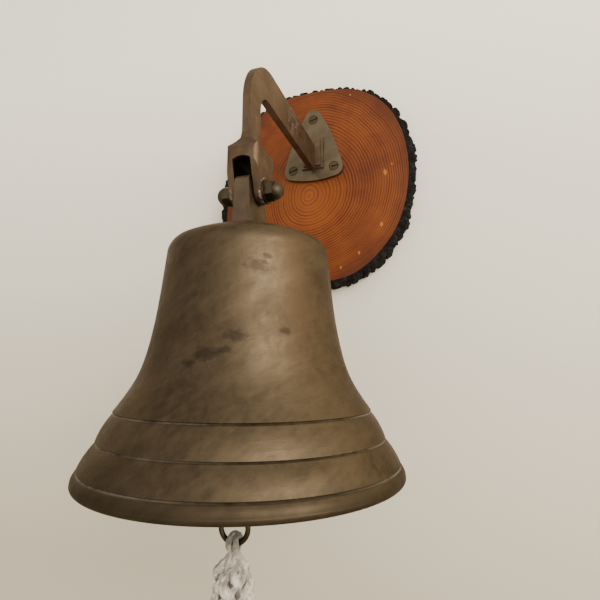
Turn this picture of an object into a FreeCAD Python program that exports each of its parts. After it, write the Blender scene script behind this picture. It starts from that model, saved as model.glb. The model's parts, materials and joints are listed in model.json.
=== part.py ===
import FreeCAD, Part
import math
import os

from FreeCAD import Placement, Rotation, Vector

# Wall-mounted ship's bell.  Frame: millimetres, X to the right, Y into the wall, Z up.
# The origin is on the wall, at the centre of the back of the wooden mounting slice.

# --- driving dimensions ---------------------------------------------------------------------

SIZES = {
    # wooden slice and its hangers
    "slice_depth": 20.0,
    "hanger_width": 18.0,
    "hanger_height": 42.0,
    "hanger_gauge": 1.6,
    "hanger_spread": 50.0,
    "hanger_level": 40.0,
    "keyhole_radius": 5.0,
    "keyslot_radius": 2.6,
    "keyslot_rise": 11.0,
    "hook_room_depth": 9.0,
    "hanger_screw_radius": 1.5,
    "hanger_screw_length": 12.0,
    # wall plate
    "plate_gauge": 4.0,
    "pad_width": 24.3,
    "pad_height": 35.0,
    "pad_gauge": 2.5,
    "pad_level": 32.5,
    "screw_head_radius": 4.6,
    "screw_head_depth": 2.5,
    "screw_radius": 2.1,
    "screw_length": 20.0,
    "screw_slot_width": 1.2,
    "screw_slot_depth": 1.2,
    "screw_spread": 22.45,
    "lower_screw_level": 16.7,
    "upper_screw_level": 72.0,
    # bracket arm
    "arm_gauge": 6.0,
    "arm_depth": 19.0,
    "bar_top": 40.0,
    "bar_height": 27.0,
    "outer_corner": 42.0,
    "inner_corner": 15.0,
    "end_block_width": 19.5,
    "end_block_height": 31.0,
    "end_block_gauge": 2.5,
    "bevel": 2.0,
    "tenon_height": 19.0,
    # fork and pivot
    "pivot_reach": 181.5,
    "pivot_level": -71.0,
    "fork_width": 23.6,
    "fork_depth": 32.0,
    "fork_slot": 13.4,
    "fork_rounding": 3.4,
    "slot_ceiling": 21.8,
    "slot_vault": 2.0,
    "cheek_radius": 9.0,
    "bolt_radius": 4.0,
    "bolt_hole_radius": 4.2,
    "lug_bore_radius": 4.06,
    "hex_radius": 7.5,
    "hex_height": 5.6,
    "dome_radius": 6.2,
    "dome_rise": 6.0,
    "washer_radius": 8.5,
    "washer_gauge": 1.6,
    # bell and crown
    "mouth_radius": 102.0,
    "bell_height": 164.3,
    "crown_gauge": 6.0,
    "stud_radius": 6.0,
    "stud_reach": 21.3,
    "lug_depth": 28.0,
    "lug_rise": 9.7,
    "lug_top_width": 10.3,
    "lug_foot_width": 13.2,
    "crown_washer_radius": 14.0,
    "crown_washer_gauge": 2.0,
    "crown_nut_radius": 11.0,
    "crown_nut_height": 9.0,
    # clapper
    "staple_radius": 8.0,
    "staple_wire": 2.6,
    "staple_boss_radius": 8.0,
    "staple_boss_height": 7.3,
    "clapper_drop": 38.8,
    "clapper_length": 150.0,
    "clapper_lean": 2.4,
    "eye_slack": 0.9,
    "rod_radius": 4.0,
    "ball_radius": 17.0,
    "ball_drop": 117.5,
    "tail_radius": 5.2,
    "tail_gauge": 4.0,
    "tail_hole_radius": 2.6,
    # clapper ring and bell rope
    "ring_radius": 9.5,
    "ring_wire": 1.7,
    "rope_eye_radius": 6.7,
    "rope_eye_hole": 3.2,
    "rope_eye_width": 8.6,
    "neck_radius": 4.4,
    "sennit_radius": 13.2,
    "knot_radius": 17.0,
    "knot_rise": 13.0,
}

doc = FreeCAD.newDocument("ship_bell")
sheet = doc.addObject("Spreadsheet::Sheet", "Sizes")
for row, (alias, value) in enumerate(SIZES.items(), start=1):
    sheet.set(f"A{row}", alias)
    sheet.set(f"B{row}", str(value))
    sheet.setAlias(f"B{row}", alias)
doc.recompute()


def size(alias):
    return float(sheet.get(alias))


# --- small building helpers -----------------------------------------------------------------

NODES = []
UPRIGHT = Rotation()
ALONG_X = Rotation(Vector(0, 1, 0), 90)
ALONG_MINUS_X = Rotation(Vector(0, 1, 0), -90)
ALONG_Y = Rotation(Vector(1, 0, 0), -90)
FRONT_PLANE = Rotation(Vector(1, 0, 0), 90)
SIDE_PLANE = Rotation(Vector(1, 1, 1), 120)


def solid(kind, name, at, turn=UPRIGHT, **formulas):
    """A primitive whose sizes follow the spreadsheet."""
    made = doc.addObject(kind, name)
    for prop, formula in formulas.items():
        made.setExpression(prop, formula)
    made.Placement = Placement(Vector(*at), turn)
    return made


def cylinder(name, at, turn, radius, height):
    return solid("Part::Cylinder", name, at, turn, Radius=radius, Height=height)


def torus(name, at, turn, radius, wire):
    return solid("Part::Torus", name, at, turn, Radius1=radius, Radius2=wire)


def box(name, corner, length, width, height):
    return solid("Part::Box", name, corner, Length=length, Width=width, Height=height)


def hexagon(name, at, turn, radius, height):
    made = solid("Part::Prism", name, at, turn, Circumradius=radius, Height=height)
    made.Polygon = 6
    return made


def union(name, *members):
    made = doc.addObject("Part::MultiFuse", name)
    made.Shapes = list(members)
    return made


def common(name, first, second):
    made = doc.addObject("Part::Common", name)
    made.Base = first
    made.Tool = second
    return made


def cut(name, base, *tools):
    made = doc.addObject("Part::Cut", name)
    made.Base = base
    made.Tool = tools[0] if len(tools) == 1 else union(name + "_tools", *tools)
    return made


def node(label, made):
    """Keeps a finished sub-part under the name of its file."""
    made.Label = label
    NODES.append(made)
    return made


def point(pair):
    return Vector(pair[0], pair[1], 0)


def outline(name, start, steps, plane, at=(0, 0, 0)):
    """A closed sketch: each step is the next point, or (via, end) for an arc, or a list of
    points for a spline."""
    sketch = doc.addObject("Sketcher::SketchObject", name)
    here = start
    for step in steps:
        if isinstance(step, list):
            curve = Part.BSplineCurve()
            curve.interpolate([point(here)] + [point(p) for p in step])
            sketch.addGeometry(curve, False)
            here = step[-1]
        elif isinstance(step[0], tuple):
            sketch.addGeometry(Part.Arc(point(here), point(step[0]), point(step[1])), False)
            here = step[1]
        else:
            sketch.addGeometry(Part.LineSegment(point(here), point(step)), False)
            here = step
    if here != start:
        sketch.addGeometry(Part.LineSegment(point(here), point(start)), False)
    sketch.Placement = Placement(Vector(*at), plane)
    return sketch


def extrusion(name, sketch, direction, length, both_ways=False):
    made = doc.addObject("Part::Extrusion", name)
    made.Base = sketch
    made.DirMode = "Custom"
    made.Dir = Vector(*direction)
    made.setExpression("LengthFwd", length)
    made.Solid = True
    made.Symmetric = both_ways
    return made


def turned(name, sketch, place):
    """A solid of revolution about its own upright axis, moved to its place."""
    made = doc.addObject("Part::Revolution", name)
    made.Source = sketch
    made.Axis = Vector(0, 0, 1)
    made.Angle = 360
    made.Solid = True
    made.Placement = place
    return made


def mirrored(steps):
    """The same steps on the other side of the upright axis, run backwards."""
    return [(-x, z) for x, z in reversed(steps)]


def on_circle(centre, radius, degrees):
    angle = math.radians(degrees)
    return (centre[0] + radius * math.cos(angle), centre[1] + radius * math.sin(angle))


PIVOT = Vector(0, -size("pivot_reach"), size("pivot_level"))
RIM_LEVEL = PIVOT.z - 189.0
PLATE_FRONT = -size("slice_depth") - size("plate_gauge")
PAD_FRONT = PLATE_FRONT - size("pad_gauge")
BLOCK_FRONT = PAD_FRONT - size("end_block_gauge")


# --- wooden slice with its bark -------------------------------------------------------------

# across, up and bark thickness, clockwise from the top of the slice
SLICE_RIM = [
    (6, 107, 2.0), (35, 104, 2.0), (58, 95, 3.0), (80, 74, 4.5), (94, 43, 6.0),
    (98.5, 8, 6.5), (96, -20, 6.5), (87, -50, 6.5), (67, -79, 6.0), (38, -100, 5.5),
    (5, -105.5, 5.0), (-30, -103, 5.5), (-65, -90, 6.0), (-90, -66, 6.5), (-102, -33, 7.0),
    (-101, -3, 7.0), (-96, 32, 6.0), (-84, 66, 5.0), (-64, 89.5, 3.0), (-32, 104.5, 2.0),
]


def rim_outline(share):
    """The slice's outline, moved outwards by a share of the bark's thickness."""
    points = []
    for index, (across, up, bark) in enumerate(SLICE_RIM):
        before = SLICE_RIM[index - 1]
        after = SLICE_RIM[(index + 1) % len(SLICE_RIM)]
        along = Vector(after[0] - before[0], 0, after[1] - before[1]).normalize()
        points.append(Vector(across - along.z * bark * share, 0, up + along.x * bark * share))
    return points


def slice_blank(name, share):
    curve = Part.BSplineCurve()
    curve.interpolate(rim_outline(share), PeriodicFlag=True)
    face = doc.addObject("Part::Feature", name + "_outline")
    face.Shape = Part.Face(Part.Wire(curve.toShape()))
    return extrusion(name, face, (0, -1, 0), "Sizes.slice_depth")


def hanger_places():
    return {"left": -size("hanger_spread"), "right": size("hanger_spread")}


def screw_places():
    return {
        "top": (0.0, size("upper_screw_level")),
        "left": (-size("screw_spread"), size("lower_screw_level")),
        "right": (size("screw_spread"), size("lower_screw_level")),
    }


def hanger_screw_points():
    reach = size("hanger_height") / 2 - 5.0
    level = size("hanger_level")
    return [(x, level + up) for x in hanger_places().values() for up in (-reach, reach)]


def build_slice():
    pockets = []
    for side, x in hanger_places().items():
        corner = (x - size("hanger_width") / 2, -size("hanger_gauge"),
                  size("hanger_level") - size("hanger_height") / 2)
        pockets.append(box(f"seat_{side}", corner,
                           "Sizes.hanger_width", "Sizes.hanger_gauge", "Sizes.hanger_height"))
        room = (x - size("keyhole_radius") - 1, -size("hook_room_depth"),
                size("hanger_level") - size("keyhole_radius") - 6)
        pockets.append(box(f"hook_room_{side}", room, "Sizes.keyhole_radius * 2 + 2",
                           "Sizes.hook_room_depth", "Sizes.keyslot_rise + 12"))
    for index, (x, z) in enumerate(hanger_screw_points()):
        pockets.append(cylinder(f"hanger_pilot_{index}", (x, -size("hanger_screw_length"), z),
                                ALONG_Y, "Sizes.hanger_screw_radius",
                                "Sizes.hanger_screw_length"))
    for side, (x, z) in screw_places().items():
        pockets.append(cylinder(f"pilot_{side}", (x, PLATE_FRONT + size("screw_length"), z),
                                FRONT_PLANE, "Sizes.screw_radius",
                                "Sizes.screw_length - Sizes.plate_gauge"))
    node("wood_slice", cut("slice_body", slice_blank("slice_blank", 0.0), *pockets))
    node("bark_rim", cut("bark_body", slice_blank("bark_blank", 1.0),
                         slice_blank("bark_hollow", 0.0)))


# --- keyhole hangers on the back ------------------------------------------------------------

def build_hangers():
    gauge = "Sizes.hanger_gauge"
    for side, x in hanger_places().items():
        level = size("hanger_level")
        sheet_metal = box(f"hanger_{side}_sheet",
                          (x - size("hanger_width") / 2, -size("hanger_gauge"),
                           level - size("hanger_height") / 2),
                          "Sizes.hanger_width", gauge, "Sizes.hanger_height")
        entry_level = level - 4
        entry = cylinder(f"entry_{side}", (x, -size("hanger_gauge"), entry_level),
                         ALONG_Y, "Sizes.keyhole_radius", gauge)
        slot = box(f"key_slot_{side}",
                   (x - size("keyslot_radius"), -size("hanger_gauge"), entry_level),
                   "Sizes.keyslot_radius * 2", gauge, "Sizes.keyslot_rise")
        slot_end = cylinder(f"key_slot_end_{side}",
                            (x, -size("hanger_gauge"), entry_level + size("keyslot_rise")),
                            ALONG_Y, "Sizes.keyslot_radius", gauge)
        holes = [cylinder(f"hanger_hole_{side}_{index}", (px, -size("hanger_gauge"), pz),
                          ALONG_Y, "Sizes.hanger_screw_radius", gauge)
                 for index, (px, pz) in enumerate(hanger_screw_points()) if px == x]
        node(f"hanger_plate_{side}",
             cut(f"hanger_{side}", sheet_metal, entry, slot, slot_end, *holes))
    screws = [cylinder(f"hanger_screw_{index}", (x, -size("hanger_screw_length"), z), ALONG_Y,
                       "Sizes.hanger_screw_radius", "Sizes.hanger_screw_length")
              for index, (x, z) in enumerate(hanger_screw_points())]
    node("hanger_screws", union("hanger_screw_set", *screws))


# --- wall plate and its wood screws ---------------------------------------------------------

def bevelled_pad(name, width, height, gauge, back, level):
    """A low block with sloping sides, its wide face at the back."""
    pad = doc.addObject("Part::Wedge", name)
    pad.setExpression("Xmax", width)
    pad.setExpression("Ymax", gauge)
    pad.setExpression("Zmax", height)
    for low, high, full in (("X2min", "X2max", width), ("Z2min", "Z2max", height)):
        pad.setExpression(low, "Sizes.bevel / 2")
        pad.setExpression(high, f"{full} - Sizes.bevel / 2")
    wide, tall = size(width.split(".")[1]), size(height.split(".")[1])
    pad.Placement = Placement(Vector(wide / 2, back, level - tall / 2),
                              Rotation(Vector(0, 0, 1), 180))
    return pad


def screw_head(name, x, z):
    head = doc.addObject("Part::Cone", name)
    head.setExpression("Radius1", "Sizes.screw_head_radius")
    head.setExpression("Radius2", "Sizes.screw_radius")
    head.setExpression("Height", "Sizes.screw_head_depth")
    head.Placement = Placement(Vector(x, PLATE_FRONT, z), ALONG_Y)
    return head


def tenon(name):
    corner = (-size("arm_gauge") / 2, PAD_FRONT, size("bar_top") - size("bar_height") + 4)
    return box(name, corner, "Sizes.arm_gauge", "Sizes.plate_gauge + Sizes.pad_gauge",
               "Sizes.tenon_height")


def build_wall_plate():
    # a rounded triangle with bulging sides, point up
    apex, foot, sole = (8.4, 77.7), (31.6, 19.0), (23.7, 6.2)
    flat = outline("plate_outline", (-apex[0], apex[1]), [
        ((0, 83.5), apex),
        ((23.3, 46.2), foot),
        ((30.2, 9.8), sole),
        ((0, 3.2), (-sole[0], sole[1])),
        ((-30.2, 9.8), (-foot[0], foot[1])),
        ((-23.3, 46.2), (-apex[0], apex[1])),
    ], FRONT_PLANE, (0, -size("slice_depth"), 0))
    sheet_metal = extrusion("plate_sheet", flat, (0, -1, 0), "Sizes.plate_gauge")
    pad = bevelled_pad("plate_pad", "Sizes.pad_width", "Sizes.pad_height", "Sizes.pad_gauge",
                       PLATE_FRONT, size("pad_level"))
    holes = [tenon("mortise")]
    for side, (x, z) in screw_places().items():
        holes.append(screw_head(f"countersink_{side}", x, z))
        holes.append(cylinder(f"plate_hole_{side}", (x, PLATE_FRONT, z), ALONG_Y,
                              "Sizes.screw_radius", "Sizes.plate_gauge"))
    node("wall_plate", cut("plate_body", union("plate_blank", sheet_metal, pad), *holes))


def build_plate_screws():
    slot_angles = {"top": 16.0, "left": 18.0, "right": 5.0}
    for side, (x, z) in screw_places().items():
        head = screw_head(f"head_{side}", x, z)
        shank = cylinder(f"shank_{side}", (x, PLATE_FRONT, z), ALONG_Y,
                         "Sizes.screw_radius", "Sizes.screw_length")
        slot = solid("Part::Box", f"slot_{side}", (0, 0, 0),
                     Length="Sizes.screw_head_radius * 2 + 2",
                     Width="Sizes.screw_slot_depth * 2", Height="Sizes.screw_slot_width")
        tilt = Rotation(Vector(0, 1, 0), -slot_angles[side])
        offset = Vector(-size("screw_head_radius") - 1, -size("screw_slot_depth"),
                        -size("screw_slot_width") / 2)
        slot.Placement = Placement(Vector(x, PLATE_FRONT, z) + tilt.multVec(offset), tilt)
        node(f"plate_screw_{side}", cut(f"screw_{side}", union(f"blank_{side}", head, shank), slot))


# --- bracket arm with its fork --------------------------------------------------------------

def build_arm():
    front = PIVOT.y - size("arm_depth") / 2
    back = PIVOT.y + size("arm_depth") / 2
    top, under = size("bar_top"), size("bar_top") - size("bar_height")
    big, small = size("outer_corner"), size("inner_corner")
    foot = PIVOT.z + size("slot_ceiling") + 4
    outer_centre = (front + big, top - big)
    inner_centre = (back + small, under - small)
    profile = outline("arm_outline", (front, foot), [
        (front, outer_centre[1]),
        (on_circle(outer_centre, big, 135), (outer_centre[0], top)),
        (BLOCK_FRONT, top),
        (BLOCK_FRONT, under),
        (inner_centre[0], under),
        (on_circle(inner_centre, small, 135), (back, inner_centre[1])),
        (back, foot),
    ], SIDE_PLANE)
    bar = extrusion("arm_bar", profile, (1, 0, 0), "Sizes.arm_gauge", both_ways=True)
    block = bevelled_pad("end_block", "Sizes.end_block_width", "Sizes.end_block_height",
                         "Sizes.end_block_gauge", PAD_FRONT, size("pad_level"))
    blank = union("arm_blank", bar, block, tenon("arm_tenon"), build_fork())
    half, rise = size("fork_slot") / 2, size("slot_vault")
    corner = (-half, PIVOT.y - size("fork_depth"), PIVOT.z - 20)
    room = box("fork_slot_room", corner, "Sizes.fork_slot", "Sizes.fork_depth * 2",
               "Sizes.slot_ceiling + 20")
    walls = box("fork_slot_walls", corner, "Sizes.fork_slot", "Sizes.fork_depth * 2",
                "Sizes.slot_ceiling - Sizes.slot_vault + 20")
    vault_radius = (half**2 + rise**2) / (2 * rise)
    vault = cylinder("fork_slot_vault",
                     (0, corner[1], PIVOT.z + size("slot_ceiling") - vault_radius), ALONG_Y,
                     f"{vault_radius}", "Sizes.fork_depth * 2")
    slot = common("fork_slot_shape", room, union("fork_slot_parts", walls, vault))
    hole = cylinder("fork_hole", (-size("fork_width"), PIVOT.y, PIVOT.z), ALONG_X,
                    "Sizes.bolt_hole_radius", "Sizes.fork_width * 2")
    node("bracket_arm", cut("arm_body", blank, slot, hole))


def build_fork():
    """The fork is where its front, side and top profiles meet."""
    leg, half = size("arm_gauge") / 2, size("fork_width") / 2
    shoulder = [(leg, 43.5), (leg + 0.7, 38.0), (leg + 3.0, 35.3), (half - 2.4, 32.4),
                (half - 0.5, 30.6), (half, 28.0), (half, -14.0)]
    front = outline("fork_front", shoulder[0], shoulder[1:] + mirrored(shoulder), FRONT_PLANE,
                    (0, PIVOT.y, PIVOT.z))
    across = extrusion("fork_across", front, (0, 1, 0), "Sizes.fork_depth + 4", both_ways=True)
    leg, half, end = size("arm_depth") / 2, size("fork_depth") / 2, size("cheek_radius")
    corner = (half, 19.0)
    slope = math.degrees(math.atan2(corner[1], corner[0]))
    touch = slope - math.degrees(math.acos(end / math.hypot(*corner)))
    cheek = on_circle((0, 0), end, touch)
    edge = [(leg, 43.5), (leg + 0.5, 38.0), (leg + 2.6, 34.0), (half - 0.8, 30.0), (half, 27.0),
            corner, cheek]
    side = outline("fork_side", edge[0],
                   edge[1:] + [((0, -end), (-cheek[0], cheek[1]))] + mirrored(edge)[1:],
                   SIDE_PLANE, tuple(PIVOT))
    along = extrusion("fork_along", side, (1, 0, 0), "Sizes.fork_width + 4", both_ways=True)
    wide, deep, corner = size("fork_width") / 2, size("fork_depth") / 2, size("fork_rounding")
    x, y = wide - corner, deep - corner
    top = outline("fork_top", (x, -deep), [
        (on_circle((x, -y), corner, -45), (wide, -y)), (wide, y),
        (on_circle((x, y), corner, 45), (x, deep)), (-x, deep),
        (on_circle((-x, y), corner, 135), (-wide, y)), (-wide, -y),
        (on_circle((-x, -y), corner, 225), (-x, -deep)),
    ], UPRIGHT, tuple(PIVOT))
    upright = extrusion("fork_upright", top, (0, 0, 1), "Sizes.fork_depth * 4", both_ways=True)
    return common("fork_blank", common("fork_cross", across, along), upright)


# --- pivot bolt, washers and acorn nut ------------------------------------------------------

def domed_hexagon(name, start, turn, outwards):
    at = (start, PIVOT.y, PIVOT.z)
    flats = hexagon(name + "_flats", at, turn, "Sizes.hex_radius", "Sizes.hex_height")
    dome = doc.addObject("Part::Ellipsoid", name + "_dome")
    dome.setExpression("Radius1", "Sizes.dome_rise")
    dome.setExpression("Radius2", "Sizes.dome_radius")
    dome.setExpression("Radius3", "Sizes.dome_radius")
    dome.Placement = Placement(
        Vector(start + outwards * size("hex_height"), PIVOT.y, PIVOT.z), ALONG_X)
    face = cylinder(name + "_face", at, turn, "Sizes.hex_radius",
                    "Sizes.hex_height + Sizes.dome_rise")
    return common(name + "_blank", union(name + "_sum", flats, dome), face)


def build_pivot():
    outer = size("fork_width") / 2 + size("washer_gauge")
    shank = cylinder("bolt_shank", (-outer, PIVOT.y, PIVOT.z), ALONG_X, "Sizes.bolt_radius",
                     "Sizes.fork_width + Sizes.washer_gauge * 2 + Sizes.hex_height")
    head = domed_hexagon("bolt_head", -outer, ALONG_MINUS_X, -1)
    node("pivot_bolt", union("bolt_body", shank, head))
    bore = cylinder("nut_bore", (outer, PIVOT.y, PIVOT.z), ALONG_X, "Sizes.bolt_radius",
                    "Sizes.hex_height")
    node("acorn_nut", cut("nut_body", domed_hexagon("nut", outer, ALONG_X, 1), bore))
    for side, start in (("left", -outer), ("right", size("fork_width") / 2)):
        disc = cylinder(f"washer_{side}_disc", (start, PIVOT.y, PIVOT.z), ALONG_X,
                        "Sizes.washer_radius", "Sizes.washer_gauge")
        hole = cylinder(f"washer_{side}_hole", (start, PIVOT.y, PIVOT.z), ALONG_X,
                        "Sizes.bolt_hole_radius", "Sizes.washer_gauge")
        node(f"pivot_washer_{side}", cut(f"washer_{side}", disc, hole))


# --- bell, crown lug and their inside fixings -----------------------------------------------

BELL_FOOT = Vector(0, PIVOT.y, RIM_LEVEL)


def build_bell():
    mouth, top = size("mouth_radius"), size("bell_height")
    ceiling, hole = top - size("crown_gauge"), size("stud_radius") + 0.1
    disc = 17.5
    waist = [(75.0, 51.0), (68.8, 62.0), (64.6, 74.0), (61.4, 88.0), (58.5, 106.0),
             (56.2, 126.0), (54.5, 141.0)]
    inside = [(85.0, 17.0), (77.5, 30.0), (69.3, 47.0), (63.8, 62.0), (59.4, 76.0),
              (56.3, 92.0), (53.6, 110.0), (51.4, 128.0), (49.7, 140.0)]
    profile = outline("bell_outline", (hole, ceiling), [
        (hole, top),
        (disc - 1.5, top),
        ((disc - 0.4, top - 0.6), (disc, top - 2.4)),
        ((37.0, 157.0), (49.2, 151.6)),
        ((52.7, 147.6), (54.5, 141.0)),
        list(reversed(waist))[1:] + [(81.8, 41.3)],
        (81.0, 40.5),
        (82.1, 39.7),
        ((86.9, 32.7), (90.3, 25.0)),
        (89.4, 24.4),
        (90.6, 23.6),
        ((95.6, 17.0), (99.2, 10.0)),
        (98.5, 9.3),
        (99.9, 8.4),
        ((101.4, 6.2), (mouth, 3.6)),
        ((mouth - 0.5, 1.0), (mouth - 2.2, 0.0)),
        (mouth - 5.0, 0.0),
        [(94.0, 5.0)] + inside,
        ((46.6, 147.6), (38.0, 152.4)),
        ((28.0, 156.4), (18.0, ceiling)),
    ], FRONT_PLANE)
    node("bell_shell", turned("bell_body", profile, Placement(BELL_FOOT, UPRIGHT)))


def build_lug():
    rise, drop = size("lug_rise"), PIVOT.z - RIM_LEVEL - size("bell_height")
    thin, thick = size("lug_top_width") / 2, size("lug_foot_width") / 2
    at = tuple(PIVOT)
    front = outline("lug_front", (-thick, -drop), [
        (-thin, rise - 1.0), ((-thin + 0.3, rise - 0.3), (-thin + 1.0, rise)),
        (thin - 1.0, rise), ((thin - 0.3, rise - 0.3), (thin, rise - 1.0)),
        (thick, -drop),
    ], FRONT_PLANE, at)
    half, corner = size("lug_depth") / 2, 5.0
    side = outline("lug_side", (-half, -drop), [
        (-half, rise - corner),
        (on_circle((corner - half, rise - corner), corner, 135), (corner - half, rise)),
        (half - corner, rise),
        (on_circle((half - corner, rise - corner), corner, 45), (half, rise - corner)),
        (half, -drop),
    ], SIDE_PLANE, at)
    blade = common("lug_blade",
                   extrusion("lug_across", front, (0, 1, 0), "Sizes.lug_depth", both_ways=True),
                   extrusion("lug_along", side, (1, 0, 0), "Sizes.lug_foot_width * 2",
                             both_ways=True))
    stud = cylinder("lug_stud", (0, PIVOT.y, PIVOT.z - drop - size("stud_reach")), UPRIGHT,
                    "Sizes.stud_radius", "Sizes.stud_reach")
    bore = cylinder("lug_bore", (-size("fork_width"), PIVOT.y, PIVOT.z), ALONG_X,
                    "Sizes.lug_bore_radius", "Sizes.fork_width * 2")
    node("crown_lug", cut("lug_body", union("lug_blank", blade, stud), bore))


def build_crown_fixings():
    ceiling = RIM_LEVEL + size("bell_height") - size("crown_gauge")
    washer_foot = ceiling - size("crown_washer_gauge")
    nut_foot = washer_foot - size("crown_nut_height")
    for label, foot, blank, height in (
        ("crown_washer", washer_foot,
         cylinder("crown_washer_disc", (0, PIVOT.y, washer_foot), UPRIGHT,
                  "Sizes.crown_washer_radius", "Sizes.crown_washer_gauge"),
         "Sizes.crown_washer_gauge"),
        ("crown_nut", nut_foot,
         hexagon("crown_nut_flats", (0, PIVOT.y, nut_foot), UPRIGHT,
                 "Sizes.crown_nut_radius", "Sizes.crown_nut_height"),
         "Sizes.crown_nut_height"),
    ):
        bore = cylinder(label + "_bore", (0, PIVOT.y, foot), UPRIGHT, "Sizes.stud_radius", height)
        node(label, cut(label + "_body", blank, bore))
    build_staple(nut_foot)


def build_staple(top):
    """The eye that screws on the stud and carries the clapper."""
    boss_foot = top - size("staple_boss_height")
    stud_end = RIM_LEVEL + size("bell_height") - size("stud_reach")
    boss = cylinder("staple_boss", (0, PIVOT.y, boss_foot), UPRIGHT,
                    "Sizes.staple_boss_radius", "Sizes.staple_boss_height")
    loop = torus("staple_loop", (0, PIVOT.y, CLAPPER_HINGE.z + size("staple_radius")),
                 FRONT_PLANE, "Sizes.staple_radius", "Sizes.staple_wire")
    bore = solid("Part::Cylinder", "staple_bore", (0, PIVOT.y, stud_end), UPRIGHT,
                 Radius="Sizes.stud_radius", Height="Sizes.stud_reach")
    node("clapper_staple", cut("staple_body", union("staple_blank", boss, loop), bore))


# --- clapper --------------------------------------------------------------------------------

CLAPPER_HINGE = Vector(0, PIVOT.y, RIM_LEVEL + size("bell_height") - size("clapper_drop"))
CLAPPER_TURN = Rotation(Vector(0, 1, 0), size("clapper_lean"))
RING_HINGE = CLAPPER_HINGE + CLAPPER_TURN.multVec(Vector(0, 0, -size("clapper_length")))
ROPE_HINGE = RING_HINGE - Vector(0, 0, 2 * size("ring_radius"))


def hung(made):
    """Moves a piece drawn about the clapper's hinge to where the clapper hangs."""
    made.Placement = Placement(CLAPPER_HINGE, CLAPPER_TURN)
    return made


def build_clapper():
    wire, loop = size("staple_wire"), size("staple_radius")
    eye_level = 2 * wire + size("eye_slack") - loop
    eye = torus("clapper_eye", (0, 0, eye_level), ALONG_X, "Sizes.staple_radius",
                "Sizes.staple_wire")
    rod = cylinder("clapper_shank", (0, 0, -size("clapper_length")), UPRIGHT,
                   "Sizes.rod_radius", f"Sizes.clapper_length - {loop - eye_level}")
    tail = cylinder("clapper_tail", (-size("tail_gauge") / 2, 0, -size("clapper_length")),
                    ALONG_X, "Sizes.tail_radius", "Sizes.tail_gauge")
    flats = [solid("Part::Box", f"tail_flat_{side}",
                   (x, -size("tail_radius") - 1, -size("clapper_length") - 8),
                   Length="Sizes.rod_radius * 2", Width="Sizes.tail_radius * 2 + 2",
                   Height="16")
             for side, x in (("left", -size("tail_gauge") / 2 - 2 * size("rod_radius")),
                             ("right", size("tail_gauge") / 2))]
    hole = cylinder("tail_hole", (-10, 0, -size("clapper_length")), ALONG_X,
                    "Sizes.tail_hole_radius", "20")
    node("clapper_rod", hung(cut("rod_body", union("rod_blank", eye, rod, tail), hole, *flats)))
    ball = solid("Part::Sphere", "clapper_ball_solid", (0, 0, -size("ball_drop")),
                 Radius="Sizes.ball_radius")
    bore = cylinder("ball_bore", (0, 0, -size("ball_drop") - 20), UPRIGHT,
                    "Sizes.rod_radius", "40")
    node("clapper_ball", hung(cut("ball_body", ball, bore)))


# --- clapper ring and bell rope -------------------------------------------------------------

def build_ring():
    centre = RING_HINGE - Vector(0, 0, size("ring_radius"))
    node("clapper_ring",
         torus("ring_body", tuple(centre), FRONT_PLANE, "Sizes.ring_radius", "Sizes.ring_wire"))


# the middle of the plait below the ring: across and down from the rope's hinge
ROPE_ROUTE = [(0.0, -12.0), (-2.6, -58.0), (-3.4, -112.0), (-1.4, -172.0)]


def rope_path():
    """Straight runs joined by tangent arcs, as large as the runs allow."""
    points = [ROPE_HINGE + Vector(across, 0, down) for across, down in ROPE_ROUTE]
    edges = []
    here = points[0]
    for before, corner, after in zip(points, points[1:], points[2:]):
        arriving, leaving = corner - before, after - corner
        turn = arriving.getAngle(leaving)
        trim = 0.45 * min(arriving.Length, leaving.Length)
        radius = trim / math.tan(turn / 2)
        print(f"rope arc radius {radius:.0f} mm, turn {math.degrees(turn):.1f} degrees")
        start = corner - arriving.normalize() * trim
        end = corner + leaving.normalize() * trim
        inwards = (leaving - arriving).normalize()
        middle = corner + inwards * (radius / math.cos(turn / 2) - radius)
        edges.append(Part.LineSegment(here, start).toShape())
        edges.append(Part.Arc(start, middle, end).toShape())
        here = end
    edges.append(Part.LineSegment(here, points[-1]).toShape())
    return Part.Wire(edges)


def build_rope():
    """A plaited bell rope: an eye round the ring, a thick sennit and a knot at its end."""
    x, y, z = tuple(ROPE_HINGE)
    half = size("rope_eye_width") / 2
    loop = cylinder("rope_loop", (x - half, y, z), ALONG_X, "Sizes.rope_eye_radius",
                    "Sizes.rope_eye_width")
    hole = cylinder("rope_loop_hole", (x - half - 1, y, z), ALONG_X, "Sizes.rope_eye_hole",
                    "Sizes.rope_eye_width + 2")
    neck_foot = ROPE_ROUTE[0][1]
    neck = cylinder("rope_neck", (x, y, z + neck_foot), UPRIGHT, "Sizes.neck_radius", "8")
    path = rope_path()
    radius = size("sennit_radius")
    along = path.Edges[0].tangentAt(path.Edges[0].FirstParameter)
    rim = Part.Wire(Part.Circle(path.Vertexes[0].Point, along, radius).toShape())
    plait = doc.addObject("Part::Feature", "sennit_body")
    plait.Shape = path.makePipeShell([rim], True, True)
    tube = math.pi * radius**2 * path.Length
    print(f"rope length {path.Length:.1f} mm, volume {plait.Shape.Volume / tube:.3f} of its tube")
    node("rope_eye",
         cut("rope_eye_body", union("rope_eye_blank", loop, neck), hole, plait))
    node("rope_sennit", plait)

    across, down = ROPE_ROUTE[-1]
    end = ROPE_HINGE + Vector(across, 0, down)
    ball = doc.addObject("Part::Ellipsoid", "knot_ball")
    ball.setExpression("Radius1", "Sizes.knot_rise")
    ball.setExpression("Radius2", "Sizes.knot_radius")
    ball.setExpression("Radius3", "Sizes.knot_radius")
    ball.Placement = Placement(end - Vector(0, 0, size("knot_rise") - 4.0), UPRIGHT)
    node("rope_end_knot", cut("knot_body", ball, plait))


# --- build, check and write -----------------------------------------------------------------

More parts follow.
